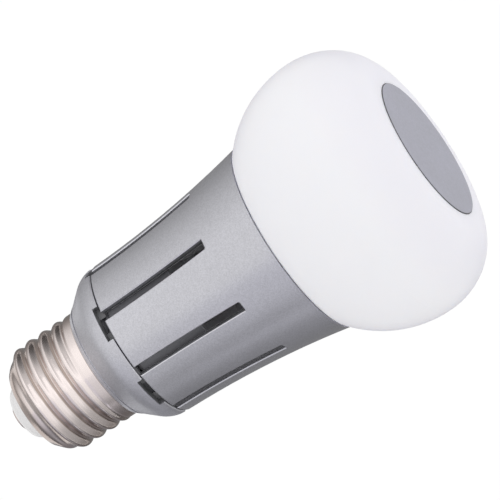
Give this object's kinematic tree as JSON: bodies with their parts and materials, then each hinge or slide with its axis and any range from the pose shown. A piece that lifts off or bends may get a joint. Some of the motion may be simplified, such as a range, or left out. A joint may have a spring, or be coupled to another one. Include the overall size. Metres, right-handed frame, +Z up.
{
  "type": "led lamp",
  "caption": "LED A-shape lamp with an opal globe, a grey top disc, a flared silver heat sink with long slots and a screw cap",
  "frame": {"origin": "on the lamp's axis at the screw shell's upper rim, where the collar sits on it", "axes": "+Z runs up the lamp's axis from the cap to the globe; a heat sink slot lies on +X"},
  "size_m": [0.064, 0.064, 0.1107],
  "materials": {
    "nickel_plate": "bright nickel plate over rolled brass",
    "cap_white": "smooth white moulding",
    "silver_paint": "satin silver paint with fine flake",
    "collar_silver": "satin silver paint with fine flake",
    "disc_grey": "fine satin grey",
    "opal_white": "satin opal",
    "housing_dark": "matt dark grey moulding",
    "screw_steel": "zinc plated",
    "board_green": "solder mask",
    "ferrite": "matt",
    "bobbin_black": "matt moulding",
    "tape_yellow": "polyester tape",
    "sleeve_black": "shrink sleeve",
    "resin_black": "moulding resin",
    "film_red": "dipped resin",
    "fuse_green": "cement coat",
    "wire_red": "soft insulation",
    "wire_black": "soft insulation",
    "wire_white": "soft insulation",
    "pad_grey": "soft silicone sheet",
    "led_board_white": "white solder mask on aluminium",
    "led_yellow": "phosphor",
    "silicone_white": "cured bead"
  },
  "bodies": {
    "root": {"screw_shell": "nickel_plate", "cap_insulator": "cap_white", "centre_contact": "nickel_plate", "base_collar": "collar_silver", "heat_sink": "silver_paint", "globe": "opal_white", "globe_seal": "silicone_white", "top_disc": "disc_grey", "driver_housing": "housing_dark", "housing_lid": "housing_dark", "housing_screws": "screw_steel", "driver_board": "board_green", "transformer_core": "ferrite", "transformer_bobbin": "bobbin_black", "transformer_winding": "tape_yellow", "input_capacitor": "sleeve_black", "output_capacitor": "sleeve_black", "choke": "sleeve_black", "film_capacitor": "film_red", "bridge_rectifier": "resin_black", "driver_chip": "resin_black", "fuse_resistor": "fuse_green", "live_lead": "wire_white", "neutral_lead": "wire_white", "led_lead_positive": "wire_red", "led_lead_negative": "wire_black", "thermal_pad": "pad_grey", "led_board": "led_board_white", "led_packages": "led_yellow", "led_board_screws": "screw_steel"}
  },
  "joints": []
}
